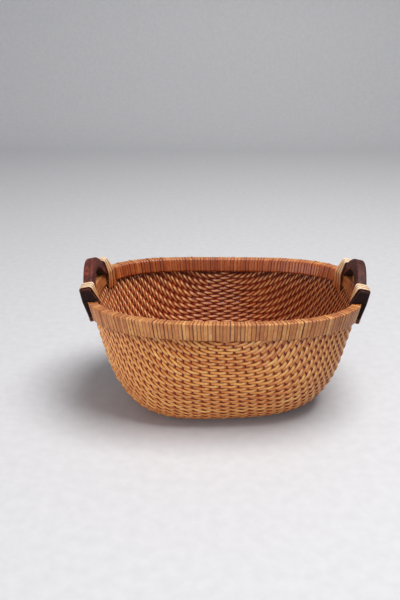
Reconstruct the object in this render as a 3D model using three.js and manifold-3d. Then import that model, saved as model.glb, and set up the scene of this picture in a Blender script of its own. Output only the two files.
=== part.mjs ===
// Oval woven rod basket with two lashed wooden handles, millimetres, +Z up.
// Origin: on the floor under the middle of the base. +X: along the rim, towards the right handle.
import * as THREE from "three";
import { mergeVertices } from "three/addons/utils/BufferGeometryUtils.js";
import Module from "manifold-3d";

// Driving dimensions
const RIM_HALF_LENGTH = 215;
const RIM_HALF_DEPTH = 153.5;
const RIM_HEIGHT = 182.5;
const PLAN_EXPONENT = 2.85; // superellipse, between an ellipse (2) and a rectangle
const END_RISE = 4.5; // the rim sweeps up this much at the two handle ends

const OUTER_BAND = 27; // height of the rim band seen from outside
const INNER_BAND = 21; // height of the rim band seen from inside
const RIM_FLARE = 0.22; // outward run per unit of height at the rim

const WALL = 5; // rods woven over and under their cords
const BASE_HALF_LENGTH = 166; // of the straight wall carried down to the floor
const BASE_HALF_DEPTH = 132;
const CORNER_RADIUS = 88; // height of the rounded turn between wall and base
const CORNER_INSET = 44; // how far that turn draws the base in
const BASE_TWIST = THREE.MathUtils.degToRad(7); // the base sits slightly turned under the rim

const GAP = 0.3; // clearance between touching pieces
const HOOP = 2.5; // split-wood hoop strips
const WRAP = 1.2; // cane wrapped over the rim
const FILLER = 4.2; // height of the filler rod above the wall edge
const HOOP_DROP = 1.5; // hoop tops lie this far under the wrapped top

const HANDLE_HALF_LENGTH = 78;
const HANDLE_THICKNESS = 15;
const HANDLE_TILT = THREE.MathUtils.degToRad(12);
const HANDLE_INNER_X = 193.5; // inner face at the seat
const FOOT_HEIGHT = 20;
const FOOT_LENGTH = 32;
const CROWN_HEIGHT = 43.2;
const CROWN_THICKNESS = 19.5;
const CROWN_FLAT = 4; // half length of the level top
const CROWN_SHOULDER = 20; // corner that the top rounds off on its way down to the foot
const ARCH_SHOULDER = 22; // corners that the finger gap's arch rounds off
const ARCH_FOOT = 30;
const ARCH_FOOT_HEIGHT = 12;
const HANDLE_EASE = 2.2; // rounded arrises
const CHAMFER = 2; // sawn corners of the feet
const WEDGE_SPREAD = 9; // each foot spreads this far inwards at its end, to cover the rim
const WEDGE_HEIGHT = 17.5;
const LIP_DEPTH = 26.5; // each foot hooks down over the rim's outer side by this much at its end
const LIP_LENGTH = 12;
const LIP_REACH = 16; // a lip runs this far inwards before the shape of the rim is cut out of it
const LIP_ROOT = 4; // height at which a lip joins the middle of the bar

const STRAND_WIDTH = 7;
const STRAND_THICKNESS = 1.5;
const STRAND_PITCH = 7.6;
const STRANDS = 3;
const LASHING_MIDDLE = 62; // distance of each lashing from the middle of its handle
const PASS_INSIDE = 159; // heights at which the strands go through the wall
const PASS_OUTSIDE = 152.5;
const STRAND_CLEAR = 0.5; // between a strand and the handle it binds

const RIM_STEPS = 96;
const WRAP_STEPS = 40;
const WALL_STEPS = 12;
const FULL_TURN = 2 * Math.PI;

const WILLOW = new THREE.MeshStandardMaterial({ color: "#b9753f", roughness: 0.55, metalness: 0 });
const HOOP_WOOD = new THREE.MeshStandardMaterial({ color: "#a8602f", roughness: 0.5, metalness: 0 });
const WRAP_CANE = new THREE.MeshStandardMaterial({ color: "#c08a50", roughness: 0.5, metalness: 0 });
const HANDLE_WOOD = new THREE.MeshStandardMaterial({ color: "#4b2620", roughness: 0.45, metalness: 0 });
const LASHING_CANE = new THREE.MeshStandardMaterial({ color: "#d9b27c", roughness: 0.35, metalness: 0 });

const wasm = await Module();
wasm.setup();

// Geometry helpers

function geometryFrom(vertices, faces) {
  const geometry = new THREE.BufferGeometry();
  geometry.setAttribute("position", new THREE.Float32BufferAttribute(vertices.flat(), 3));
  geometry.setIndex(faces.flat());
  return geometry;
}

function solidOf(geometry) {
  const bare = geometry.clone();
  bare.deleteAttribute("normal");
  bare.deleteAttribute("uv");
  const merged = mergeVertices(bare, 1e-4);
  return new wasm.Manifold(new wasm.Mesh({
    numProp: 3,
    vertProperties: new Float32Array(merged.attributes.position.array),
    triVerts: new Uint32Array(merged.index.array),
  }));
}

function geometryOf(solid) {
  const mesh = solid.getMesh();
  const geometry = new THREE.BufferGeometry();
  geometry.setAttribute("position", new THREE.BufferAttribute(new Float32Array(mesh.vertProperties), 3));
  geometry.setIndex(new THREE.BufferAttribute(new Uint32Array(mesh.triVerts), 1));
  return geometry;
}

function boxGeometry(low, high) {
  const size = high.clone().sub(low);
  const middle = low.clone().add(high).multiplyScalar(0.5);
  return new THREE.BoxGeometry(size.x, size.y, size.z).translate(middle.x, middle.y, middle.z);
}

// Point of a superellipse of half-axes (a, b) at parameter angle t.
function planPoint(a, b, t) {
  const power = 2 / PLAN_EXPONENT;
  const c = Math.cos(t);
  const s = Math.sin(t);
  return [Math.sign(c) * a * Math.abs(c) ** power, Math.sign(s) * b * Math.abs(s) ** power];
}

// Parameter angle at which the rim's outline reaches the depth y, in the first quadrant.
function angleAtDepth(y) {
  return Math.asin((y / RIM_HALF_DEPTH) ** (PLAN_EXPONENT / 2));
}

function rimRise(x) {
  return END_RISE * (x / RIM_HALF_LENGTH) ** 2;
}

// Point on the rim: inset from its outer face, at a height measured from its wrapped top.
function rimPoint(t, inset, height) {
  const drawnIn = inset - RIM_FLARE * height;
  const [x, y] = planPoint(RIM_HALF_LENGTH - drawnIn, RIM_HALF_DEPTH - drawnIn, t);
  return [x, y, RIM_HEIGHT + height + rimRise(x)];
}

// Half-axes of the wall's outer face at height z below the rim band.
const wallTop = RIM_HEIGHT - OUTER_BAND;
const wallInset = WRAP + HOOP + 2 * GAP;
const wallTopDrawnIn = wallInset + RIM_FLARE * OUTER_BAND;

function wallAxes(z) {
  const k = z / wallTop;
  const rounded = Math.min(z / CORNER_RADIUS, 1);
  const inset = CORNER_INSET * (1 - Math.sqrt(1 - (1 - rounded) ** 2));
  const length = THREE.MathUtils.lerp(BASE_HALF_LENGTH, RIM_HALF_LENGTH - wallTopDrawnIn, k);
  const depth = THREE.MathUtils.lerp(BASE_HALF_DEPTH, RIM_HALF_DEPTH - wallTopDrawnIn, k);
  return [length - inset, depth - inset];
}

// Point of the wall at height z, moved inwards by inset and scaled towards the axis by fill.
function wallPoint(t, z, inset, fill = 1) {
  const [length, depth] = wallAxes(z);
  const k = z / wallTop;
  const [x, y] = planPoint(fill * (length - inset), fill * (depth - inset), t);
  const turn = BASE_TWIST * (1 - k);
  return [
    x * Math.cos(turn) - y * Math.sin(turn),
    x * Math.sin(turn) + y * Math.cos(turn),
    z + k * rimRise(x),
  ];
}

// Closed surface through rings of equal point counts, each end closed on one middle point.
function loftRings(rings, firstPole, lastPole) {
  const count = rings[0].length;
  const vertices = [firstPole, ...rings.flat(), lastPole];
  const last = vertices.length - 1;
  const faces = [];
  const at = (ring, k) => 1 + ring * count + (k % count);
  for (let k = 0; k < count; k++) {
    faces.push([0, at(0, k + 1), at(0, k)]);
    faces.push([last, at(rings.length - 1, k), at(rings.length - 1, k + 1)]);
    for (let ring = 0; ring + 1 < rings.length; ring++) {
      faces.push([at(ring, k), at(ring, k + 1), at(ring + 1, k + 1)]);
      faces.push([at(ring, k), at(ring + 1, k + 1), at(ring + 1, k)]);
    }
  }
  return geometryFrom(vertices, faces);
}

// Sweeps a section of [inset, height] points round the rim. They run anticlockwise, outwards to the right.
function sweepRim(section, from, to, steps, closed) {
  const stations = closed ? steps : steps + 1;
  const size = section.length;
  const vertices = [];
  for (let i = 0; i < stations; i++) {
    const t = THREE.MathUtils.lerp(from, to, i / steps);
    for (const [inset, height] of section) vertices.push(rimPoint(t, inset, height));
  }
  const faces = [];
  const at = (i, k) => (i % stations) * size + (k % size);
  for (let i = 0; i < steps; i++) {
    for (let k = 0; k < size; k++) {
      faces.push([at(i, k), at(i + 1, k), at(i + 1, k + 1)]);
      faces.push([at(i, k), at(i + 1, k + 1), at(i, k + 1)]);
    }
  }
  if (!closed) {
    const outline = section.map(([inset, height]) => new THREE.Vector2(-inset, height));
    for (const [a, b, c] of THREE.ShapeUtils.triangulateShape(outline, [])) {
      faces.push([at(0, a), at(0, b), at(0, c)]);
      faces.push([at(steps, a), at(steps, c), at(steps, b)]);
    }
  }
  return geometryFrom(vertices, faces);
}

// Woven body: one bowl-shaped sheet of willow rods

function wovenBody() {
  const around = Array.from({ length: RIM_STEPS }, (_, i) => (FULL_TURN * i) / RIM_STEPS);
  const ring = (point) => around.map(point);
  const bunching = 1.8; // above 1, the heights crowd towards the rounded turn at the base
  const heights = Array.from({ length: WALL_STEPS }, (_, i) => wallTop * (i / WALL_STEPS) ** bunching);
  const edge = -HOOP_DROP - FILLER - GAP;
  const outside = heights.map((z) => ring((t) => wallPoint(t, z, 0)));
  const inside = heights
    .filter((z) => z > WALL)
    .map((z) => ring((t) => wallPoint(t, z, WALL)));
  const floorShare = 0.94; // the flat floor stops short of the wall
  const floor = ring((t) => {
    const [x, y] = wallPoint(t, WALL, WALL, floorShare);
    return [x, y, WALL];
  });
  const rings = [
    ...outside,
    ring((t) => rimPoint(t, wallInset, -OUTER_BAND)),
    ring((t) => rimPoint(t, wallInset, edge)),
    ring((t) => rimPoint(t, wallInset + WALL, edge)),
    ring((t) => rimPoint(t, wallInset + WALL, -OUTER_BAND)),
    ...inside.reverse(),
    floor,
  ];
  return loftRings(rings, [0, 0, 0], [0, 0, WALL]);
}

// Rim: two hoops clamp the wall's edge, a filler rod closes the top, cane wraps them

function hoopSection(inset, band) {
  const low = 1 - band; // the wrap covers the hoop's lower edge
  return [
    [inset, low],
    [inset, -HOOP_DROP],
    [inset + HOOP, -HOOP_DROP],
    [inset + HOOP, low],
  ];
}

const outerHoopInset = WRAP + GAP;
const innerHoopInset = wallInset + WALL + GAP;
const rimWidth = innerHoopInset + HOOP + GAP + WRAP;

function fillerSection() {
  const ease = 1.2;
  const outer = wallInset;
  const inner = wallInset + WALL;
  const low = -HOOP_DROP - FILLER;
  return [
    [outer, low],
    [outer, -HOOP_DROP - ease],
    [outer + ease, -HOOP_DROP],
    [inner - ease, -HOOP_DROP],
    [inner, -HOOP_DROP - ease],
    [inner, low],
  ];
}

function wrapSection() {
  const ease = 1;
  return [
    [0, -OUTER_BAND],
    [0, -ease],
    [ease, 0],
    [rimWidth - ease, 0],
    [rimWidth, -ease],
    [rimWidth, -INNER_BAND],
    [rimWidth - WRAP, -INNER_BAND],
    [rimWidth - WRAP, -WRAP],
    [WRAP, -WRAP],
    [WRAP, -OUTER_BAND],
  ];
}

function hoop(section) {
  return sweepRim(section, 0, FULL_TURN, RIM_STEPS, true);
}

// The wrap stops where even its inner leg is clear of the handle feet.
const wrapStop = HANDLE_HALF_LENGTH + 2;
const wrapEnd = angleAtDepth((wrapStop * RIM_HALF_DEPTH) / (RIM_HALF_DEPTH - rimWidth));

// One wrap covers the half turn from the angle start, less its two ends.
function rimWrap(start) {
  return sweepRim(wrapSection(), start + wrapEnd, start + FULL_TURN / 2 - wrapEnd, WRAP_STEPS, false);
}

// Handles: bent wooden bars that stand on the rim at its two ends

const seatHeight = RIM_HEIGHT + END_RISE - HOOP_DROP + GAP;

function handleOutline() {
  const half = HANDLE_HALF_LENGTH;
  const foot = half - FOOT_LENGTH;
  const shoulder = foot + 5;
  const under = CROWN_HEIGHT - CROWN_THICKNESS;
  const buried = -5; // sawn off at the seat afterwards
  const shape = new THREE.Shape();
  shape.moveTo(-half, buried);
  shape.lineTo(-foot - CHAMFER, buried);
  shape.lineTo(-foot, 0);
  shape.bezierCurveTo(-ARCH_FOOT, ARCH_FOOT_HEIGHT, -ARCH_SHOULDER, under, 0, under);
  shape.bezierCurveTo(ARCH_SHOULDER, under, ARCH_FOOT, ARCH_FOOT_HEIGHT, foot, 0);
  shape.lineTo(foot + CHAMFER, buried);
  shape.lineTo(half, buried);
  shape.lineTo(half, FOOT_HEIGHT - CHAMFER);
  shape.lineTo(half - CHAMFER, FOOT_HEIGHT);
  shape.lineTo(shoulder, FOOT_HEIGHT + 1);
  shape.quadraticCurveTo(CROWN_SHOULDER, CROWN_HEIGHT, CROWN_FLAT, CROWN_HEIGHT);
  shape.lineTo(-CROWN_FLAT, CROWN_HEIGHT);
  shape.quadraticCurveTo(-CROWN_SHOULDER, CROWN_HEIGHT, -shoulder, FOOT_HEIGHT + 1);
  shape.lineTo(-half + CHAMFER, FOOT_HEIGHT);
  shape.lineTo(-half, FOOT_HEIGHT - CHAMFER);
  return shape;
}

// Point in the X-Z plane of the right-hand bar, across its thickness and up its tilted face.
function barPoint(across, up) {
  const sin = Math.sin(HANDLE_TILT);
  const cos = Math.cos(HANDLE_TILT);
  return [HANDLE_INNER_X + across * cos + up * sin, seatHeight - across * sin + up * cos];
}

// Solid through X-Z sections at the depths from and to and between them, on the side of the given sign.
function footSolid(section, from, to, sideY) {
  const stations = 6;
  const rings = Array.from({ length: stations }, (_, i) => {
    const y = THREE.MathUtils.lerp(from, to, i / (stations - 1));
    const ring = section(y).map(([x, z]) => [x, sideY * y, z]);
    return sideY > 0 ? ring.reverse() : ring;
  });
  const middle = (ring) => [0, 1, 2].map((k) => ring.reduce((sum, p) => sum + p[k], 0) / ring.length);
  return solidOf(loftRings(rings, middle(rings[0]), middle(rings[stations - 1])));
}

// Inner side of a foot: it slopes from the bar's face out over the rim, more so towards the end.
function footSpread(y) {
  const start = HANDLE_HALF_LENGTH - FOOT_LENGTH;
  return WEDGE_SPREAD * Math.max(0, (y - start) / FOOT_LENGTH);
}

function wedgeSection(y) {
  const buried = 4;
  return [
    [barPoint(buried, 0)[0], seatHeight],
    barPoint(buried, WEDGE_HEIGHT),
    barPoint(0, WEDGE_HEIGHT),
    [HANDLE_INNER_X - footSpread(y), seatHeight],
  ];
}

// Outer side of a foot: a hook inside the lashing's outer run, cut to the rim afterwards.
function lipSection(y) {
  const start = HANDLE_HALF_LENGTH - LIP_LENGTH;
  const shallow = 4;
  const depth = THREE.MathUtils.lerp(shallow, LIP_DEPTH, (y - start) / LIP_LENGTH);
  const last = LASHING_MIDDLE + STRAND_PITCH + STRAND_WIDTH / 2;
  const [faceX, faceZ] = barPoint(HANDLE_THICKNESS, 0);
  const fall = faceZ - (RIM_HEIGHT - OUTER_BAND);
  const lowX = rimXAtDepth(last, -GAP, -OUTER_BAND);
  const low = seatHeight - depth;
  const outer = faceX + ((low - faceZ) * (faceX - lowX)) / fall;
  const buried = barPoint(HANDLE_THICKNESS / 2, LIP_ROOT);
  return [[outer - LIP_REACH, low], [outer, low], [faceX, faceZ], buried];
}

// Right-hand handle: outline in the Y-Z plane, thickness along X, tilted outwards, sawn flat at the seat.
function handleGeometry(side) {
  const bar = new THREE.ExtrudeGeometry(handleOutline(), {
    depth: HANDLE_THICKNESS - 2 * HANDLE_EASE,
    bevelSize: HANDLE_EASE,
    bevelOffset: -HANDLE_EASE,
    bevelThickness: HANDLE_EASE,
    bevelSegments: 4,
    curveSegments: 16,
  });
  bar.translate(0, 0, HANDLE_EASE);
  bar.applyMatrix4(new THREE.Matrix4().makeBasis(
    new THREE.Vector3(0, 1, 0),
    new THREE.Vector3(0, 0, 1),
    new THREE.Vector3(1, 0, 0),
  ));
  bar.rotateY(HANDLE_TILT);
  bar.translate(HANDLE_INNER_X, 0, seatHeight);
  const below = boxGeometry(
    new THREE.Vector3(0, -RIM_HALF_DEPTH, 0),
    new THREE.Vector3(2 * RIM_HALF_LENGTH, RIM_HALF_DEPTH, seatHeight),
  );
  const around = Array.from({ length: RIM_STEPS }, (_, i) => (FULL_TURN * i) / RIM_STEPS);
  const envelopeHeights = [-OUTER_BAND - WALL, -OUTER_BAND / 2, 0, WALL];
  const envelope = solidOf(loftRings(
    envelopeHeights.map((height) => around.map((t) => rimPoint(t, WRAP, height))),
    [0, 0, RIM_HEIGHT - OUTER_BAND - WALL],
    [0, 0, RIM_HEIGHT + WALL],
  )).intersect(solidOf(below));
  let handle = solidOf(bar).subtract(solidOf(below));
  const end = HANDLE_HALF_LENGTH - HANDLE_EASE / 2;
  for (const sideY of [-1, 1]) {
    const wedge = footSolid(wedgeSection, HANDLE_HALF_LENGTH - FOOT_LENGTH + 1, end, sideY);
    const lip = footSolid(lipSection, HANDLE_HALF_LENGTH - LIP_LENGTH, end, sideY);
    handle = handle.add(wedge).add(lip.subtract(envelope));
  }
  const trimmed = geometryOf(handle);
  return side > 0 ? trimmed : trimmed.rotateZ(Math.PI);
}

// Lashings: flat cane strands, each a closed loop round a handle foot and the rim

// Distance of the rim from the Y axis where it passes the depth y.
function rimXAtDepth(y, inset, height) {
  const drawnIn = inset - RIM_FLARE * height;
  const share = (y / (RIM_HALF_DEPTH - drawnIn)) ** PLAN_EXPONENT;
  return (RIM_HALF_LENGTH - drawnIn) * (1 - share) ** (1 / PLAN_EXPONENT);
}

// Loop corners in the X-Z plane at depth y on the right-hand side, anticlockwise from the top outer one.
function loopCorners(y) {
  const top = FOOT_HEIGHT + 1 + GAP;
  const clear = STRAND_CLEAR;
  const barFace = HANDLE_THICKNESS + clear;
  const inside = (height) => rimXAtDepth(y, rimWidth + clear, height);
  const outside = (height) => rimXAtDepth(y, -clear, height);
  const seatOutside = Math.max(barPoint(barFace, 0)[0], outside(0));
  return [
    barPoint(barFace, top),
    barPoint(-clear, top),
    [Math.min(HANDLE_INNER_X - footSpread(y) - clear, inside(0)), seatHeight],
    [inside(-INNER_BAND), RIM_HEIGHT - INNER_BAND],
    [inside(-INNER_BAND), PASS_INSIDE],
    [outside(-OUTER_BAND), PASS_OUTSIDE],
    [outside(-OUTER_BAND), RIM_HEIGHT - OUTER_BAND],
    [seatOutside, barPoint(barFace, 0)[1]],
  ];
}

// Moves each corner of an anticlockwise outline outwards, with sharp corners cut short.
function offsetOutwards(corners, distance) {
  const shortest = 0.4;
  const count = corners.length;
  return corners.map(([x, z], i) => {
    const [px, pz] = corners[(i + count - 1) % count];
    const [nx, nz] = corners[(i + 1) % count];
    const before = new THREE.Vector2(z - pz, px - x).normalize();
    const after = new THREE.Vector2(nz - z, x - nx).normalize();
    const middle = before.clone().add(after).normalize();
    const reach = distance / Math.max(middle.dot(before), shortest);
    return [x + middle.x * reach, z + middle.y * reach];
  });
}

// A strand is a ring of four-sided sections: each of its two edges follows the rim at its own depth.
function strandGeometry(y, sideX, sideY) {
  const edges = [y - STRAND_WIDTH / 2, y + STRAND_WIDTH / 2];
  const [near, far] = edges.map(loopCorners);
  const [nearOut, farOut] = [near, far].map((corners) => offsetOutwards(corners, STRAND_THICKNESS));
  const vertices = [];
  near.forEach((_, i) => {
    for (const [corners, depth] of [[near, 0], [nearOut, 0], [farOut, 1], [far, 1]]) {
      vertices.push([sideX * corners[i][0], sideY * edges[depth], corners[i][1]]);
    }
  });
  const faces = [];
  const at = (i, k) => (i % near.length) * 4 + (k % 4);
  for (let i = 0; i < near.length; i++) {
    for (let k = 0; k < 4; k++) {
      faces.push([at(i, k), at(i + 1, k), at(i + 1, k + 1)]);
      faces.push([at(i, k), at(i + 1, k + 1), at(i, k + 1)]);
    }
  }
  const reversed = sideX * sideY > 0;
  return geometryFrom(vertices, reversed ? faces.map(([a, b, c]) => [a, c, b]) : faces);
}

// One slot in the weave lets a lashing's three strands through, under the rim band at one end of the basket.
function lashingSlot(sideX, sideY) {
  const reach = (STRANDS * STRAND_PITCH) / 2 + GAP;
  const middleX = 0.9 * sideX * RIM_HALF_LENGTH;
  const halfLength = 60; // through the whole wall
  const low = PASS_OUTSIDE - STRAND_THICKNESS - STRAND_CLEAR;
  return boxGeometry(
    new THREE.Vector3(middleX - halfLength, sideY * LASHING_MIDDLE - reach, low),
    new THREE.Vector3(middleX + halfLength, sideY * LASHING_MIDDLE + reach, PASS_INSIDE),
  );
}

// Assembly

const group = new THREE.Group();

function addPart(name, geometry, material) {
  const mesh = new THREE.Mesh(geometry, material.clone());
  mesh.name = name;
  group.add(mesh);
}

let body = solidOf(wovenBody());

for (const [sideX, left] of [[-1, "left"], [1, "right"]]) {
  addPart(`handle_${left}`, handleGeometry(sideX), HANDLE_WOOD);
  for (const [sideY, front] of [[-1, "front"], [1, "back"]]) {
    for (let i = 0; i < STRANDS; i++) {
      const y = LASHING_MIDDLE + (i - (STRANDS - 1) / 2) * STRAND_PITCH;
      addPart(`lashing_${left}_${front}_${i + 1}`, strandGeometry(y, sideX, sideY), LASHING_CANE);
    }
    body = body.subtract(solidOf(lashingSlot(sideX, sideY)));
  }
}

addPart("woven_body", geometryOf(body), WILLOW);
addPart("outer_rim_hoop", hoop(hoopSection(outerHoopInset, OUTER_BAND)), HOOP_WOOD);
addPart("inner_rim_hoop", hoop(hoopSection(innerHoopInset, INNER_BAND)), HOOP_WOOD);
addPart("rim_filler_rod", hoop(fillerSection()), HOOP_WOOD);
addPart("rim_wrap_front", rimWrap(Math.PI), WRAP_CANE);
addPart("rim_wrap_back", rimWrap(0), WRAP_CANE);

export default group;
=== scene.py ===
"""Oval willow basket with a cane-wrapped rim and two lashed wooden handles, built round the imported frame."""

import math

import bpy
import numpy as np
from mathutils import Euler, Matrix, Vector


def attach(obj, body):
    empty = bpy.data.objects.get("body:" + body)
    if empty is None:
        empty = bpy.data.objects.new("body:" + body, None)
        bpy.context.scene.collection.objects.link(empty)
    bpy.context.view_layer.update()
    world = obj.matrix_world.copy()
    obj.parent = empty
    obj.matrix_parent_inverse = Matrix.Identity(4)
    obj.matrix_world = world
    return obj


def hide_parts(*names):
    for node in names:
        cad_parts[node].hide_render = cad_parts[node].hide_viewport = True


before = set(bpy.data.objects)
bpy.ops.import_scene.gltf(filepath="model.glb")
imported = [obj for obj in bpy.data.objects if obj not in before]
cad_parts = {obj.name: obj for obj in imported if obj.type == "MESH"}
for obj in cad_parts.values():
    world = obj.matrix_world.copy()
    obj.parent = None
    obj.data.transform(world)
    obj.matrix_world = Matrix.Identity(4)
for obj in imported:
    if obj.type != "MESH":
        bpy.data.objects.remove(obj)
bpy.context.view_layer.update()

MM = 0.001
rng = np.random.default_rng(20)

# ------------------------ dimensions in millimetres; where the CAD has them too, they are the same

# Rim, wall and base
RIM_HALF_LENGTH = 215
RIM_HALF_DEPTH = 153.5
RIM_HEIGHT = 182.5
PLAN_EXPONENT = 2.85
END_RISE = 4.5
OUTER_BAND = 27
INNER_BAND = 21
RIM_FLARE = 0.22
WALL = 5
BASE_HALF_LENGTH = 166
BASE_HALF_DEPTH = 132
CORNER_RADIUS = 88
CORNER_INSET = 44
BASE_TWIST = math.radians(7)
GAP = 0.3
HOOP = 2.5
WRAP = 1.2
FILLER = 4.2
HOOP_DROP = 1.5
HOOP_SHORT = 1
WALL_INSET = WRAP + HOOP + 2 * GAP
WALL_TOP = RIM_HEIGHT - OUTER_BAND
WALL_TOP_DRAWN_IN = WALL_INSET + RIM_FLARE * OUTER_BAND
INNER_HOOP_INSET = WALL_INSET + WALL + GAP
RIM_WIDTH = WALL_INSET + WALL + GAP + HOOP + GAP + WRAP
WRAP_STOP = 80

# Handles
HANDLE_HALF_LENGTH = 78
HANDLE_THICKNESS = 15
HANDLE_TILT = math.radians(12)
HANDLE_INNER_X = 193.5
SEAT_HEIGHT = RIM_HEIGHT + END_RISE - HOOP_DROP + GAP
FOOT_HEIGHT = 20
FOOT_LENGTH = 32
FOOT_RISE = 1
CROWN_SETBACK = 5
CROWN_HEIGHT = 43.2
CROWN_THICKNESS = 19.5
CROWN_SHOULDER = 20
ARCH_SHOULDER = 22
ARCH_FOOT = 30
ARCH_FOOT_HEIGHT = 12
WEDGE_SPREAD = 9
WEDGE_HEIGHT = 17.5
LIP_DEPTH = 26.5
LIP_ROOT = 4
LIP_LENGTH = 12
BAR_EDGE = 2.8
FOOT_EDGE = 0.9
FOOT_START = 1
FOOT_SETBACK = 0.4
FOOT_EASE = 1.2
WEDGE_BURIED = 5
LIP_BURIED = 4
LEAST_LIP = 0.5

# Lashings
STRAND_WIDTH = 7
STRAND_PITCH = 7.6
STRANDS = 3
LASHING_MIDDLE = 62
PASS_INSIDE = 159
PASS_OUTSIDE = 152.5
STRAND_CLEAR = 0.5
STRAND_MIDDLE = 0.75
STRAND_OUTER_HALF = 0.95
STRAND_INNER_HALF = 0.7
STRAND_SIDES = 20
STRAND_STEP = 1.5
STRAND_ROUNDNESS = 0.7
STRAND_DRIFT = 0.25
STRAND_RISE = 0.18
GROOVE_DEPTH = 0.4
GROOVE_HALF_WIDTH = 0.16

# Weave: the rods run along X, the cords along Y; shares of the flat sheet count from its middle
ROD_PITCH = 4.45
RODS_EACH_SIDE = 60
RODS_PER_PIECE = 8
ROD_RADIUS = 2.05
ROD_SWING = 1.15
ROD_WANDER = 0.18
ROD_WANDER_LENGTHS = (25, 45)
ROD_THICKNESSES = (0.95, 1.05)
ROD_PLACE_JITTER = 0.03
ROD_PHASE_JITTER = 0.05
ROD_TONE_JITTER = 0.13
BULGE_TONE_JITTER = 0.1
ROD_STEP = 1.8
ROD_SIDES = 10
ROD_HALF_WIDTH_SHARE = 0.56
ROD_HALF_WIDTH_LIMITS = (1.6, 4.2)
ROD_TIP_SHARE = 0.84
ROD_TIP_BLUNT = 6
ROD_TIP_LENGTH = 26
WAVE_SKEW = 0.45
WAVE_SHARPNESS = 1.5
END_SPREAD = 2.1
END_SPREAD_FROM = 0.3
CORD_PITCH = 14.2
CORD_PITCH_AT_RIM = 11.0
CORD_RADIUS = 1.0
CORD_HALF_WIDTH = 1.25 * CORD_RADIUS
CORD_HALF_HEIGHT = 0.8 * CORD_RADIUS
CORD_SWING = 1.7
CORD_SIDES = 8
CORD_STEPS_PER_ROD = 4
CORD_LEAST_STATIONS = 12
CORD_PIECES = 3
WOVEN_SHARE = 0.952
WOVEN_FADE = 0.06

# Cane over the rim
STRIP_WIDTHS = (3.7, 6.1)
STRIP_GAPS, STRIP_GAP_ODDS = [0.15, 0.3, 0.9], [0.45, 0.4, 0.15]
STRIP_LIFTS, STRIP_LIFT_ODDS = [0.0, 0.15, 0.55], [0.6, 0.28, 0.12]
STRIP_LEAN = 0.7
STRIP_CROWN = 0.35
STRIP_COLUMNS = 7
WRAP_CORNER = 2.2
WRAP_PIECES = 3


# ------------------------ the bowl's surface

def smoothstep(x):
    x = np.clip(x, 0, 1)
    return x * x * (3 - 2 * x)


def unit(a):
    return a / np.maximum(np.linalg.norm(a, axis=-1, keepdims=True), 1e-12)


def walked(steps):
    """Distance covered before each step and after the last."""
    return np.concatenate([[0], np.cumsum(steps)])


def bowl_profile():
    """The rods' middle surface from the base's centre to the rim's edge.

    Gives arrays of the walk from 0 to 1, the half length, half depth and height, and the share of the way up to
    the rim, and then the length of the flat sheet from its middle to the edge.
    """
    z = WALL_TOP * np.linspace(0, 1, 400) ** 2
    share = z / WALL_TOP
    rounded = np.minimum(z / CORNER_RADIUS, 1)
    inset = CORNER_INSET * (1 - np.sqrt(1 - (1 - rounded) ** 2))
    length = BASE_HALF_LENGTH + (RIM_HALF_LENGTH - WALL_TOP_DRAWN_IN - BASE_HALF_LENGTH) * share - inset
    depth = BASE_HALF_DEPTH + (RIM_HALF_DEPTH - WALL_TOP_DRAWN_IN - BASE_HALF_DEPTH) * share - inset
    base = np.linspace(0, 1, 80)[:-1]
    band = np.linspace(-OUTER_BAND, -HOOP_DROP - FILLER - GAP, 40)[1:]
    drawn_in = WALL_INSET - RIM_FLARE * band
    length = np.concatenate([length[0] * base, length, RIM_HALF_LENGTH - drawn_in])
    depth = np.concatenate([depth[0] * base, depth, RIM_HALF_DEPTH - drawn_in])
    height = np.concatenate([0 * base, z, RIM_HEIGHT + band])
    share = np.concatenate([0 * base, share, 1 + 0 * band])
    run, rise = np.gradient((length + depth) / 2), np.gradient(height)
    slope = np.hypot(run, rise)
    depth_of_rods = ROD_SWING + ROD_RADIUS
    length = length - depth_of_rods * rise / slope
    depth = depth - depth_of_rods * rise / slope
    height = height + depth_of_rods * run / slope
    walk = walked(np.hypot(np.diff((length + depth) / 2), np.diff(height)))
    half_sheet = np.hypot(np.diff(depth), np.diff(height)).sum()
    return walk / walk[-1], length, depth, height, share, half_sheet


WALK, LENGTH, DEPTH, HEIGHT, SHARE, HALF_SHEET = bowl_profile()


def reach_of(u, v):
    """Share of the way from the base's centre, 0, to the rim's edge, 1."""
    n = PLAN_EXPONENT
    return (np.abs(u) ** n + np.abs(v) ** n) ** (1 / n)


def sheet_point(u, v):
    """Point of the bowl, in mm, for the flat sheet's shares u (along X) and v (along Y), each from -1 to 1.

    At the two ends the rods stand END_SPREAD times further apart than evenly drawn chords would.
    """
    n = PLAN_EXPONENT
    reach = reach_of(u, v)
    side = np.abs(v) / np.maximum(reach, 1e-9)
    fanned = END_SPREAD * side - (END_SPREAD - 1) * side ** (END_SPREAD / (END_SPREAD - 1))
    side = side + (fanned - side) * smoothstep((reach - END_SPREAD_FROM) / (1 - END_SPREAD_FROM))
    side = np.clip(side, 0, 1)
    end = (1 - side ** n) ** (1 / n)
    x = np.interp(reach, WALK, LENGTH) * end * np.sign(u)
    y = np.interp(reach, WALK, DEPTH) * side * np.sign(v)
    share = np.interp(reach, WALK, SHARE)
    turn = BASE_TWIST * (1 - share)
    z = np.interp(reach, WALK, HEIGHT) + share * END_RISE * (x / RIM_HALF_LENGTH) ** 2
    return np.stack([x * np.cos(turn) - y * np.sin(turn), x * np.sin(turn) + y * np.cos(turn), z], -1)


def sheet_normal(u, v):
    """Unit normal of the bowl, pointing out of it."""
    step = 0.004
    du = sheet_point(u + step, v) - sheet_point(u - step, v)
    dv = sheet_point(u, v + step) - sheet_point(u, v - step)
    return -unit(np.cross(du, dv))


# ------------------------ mesh building

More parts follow.
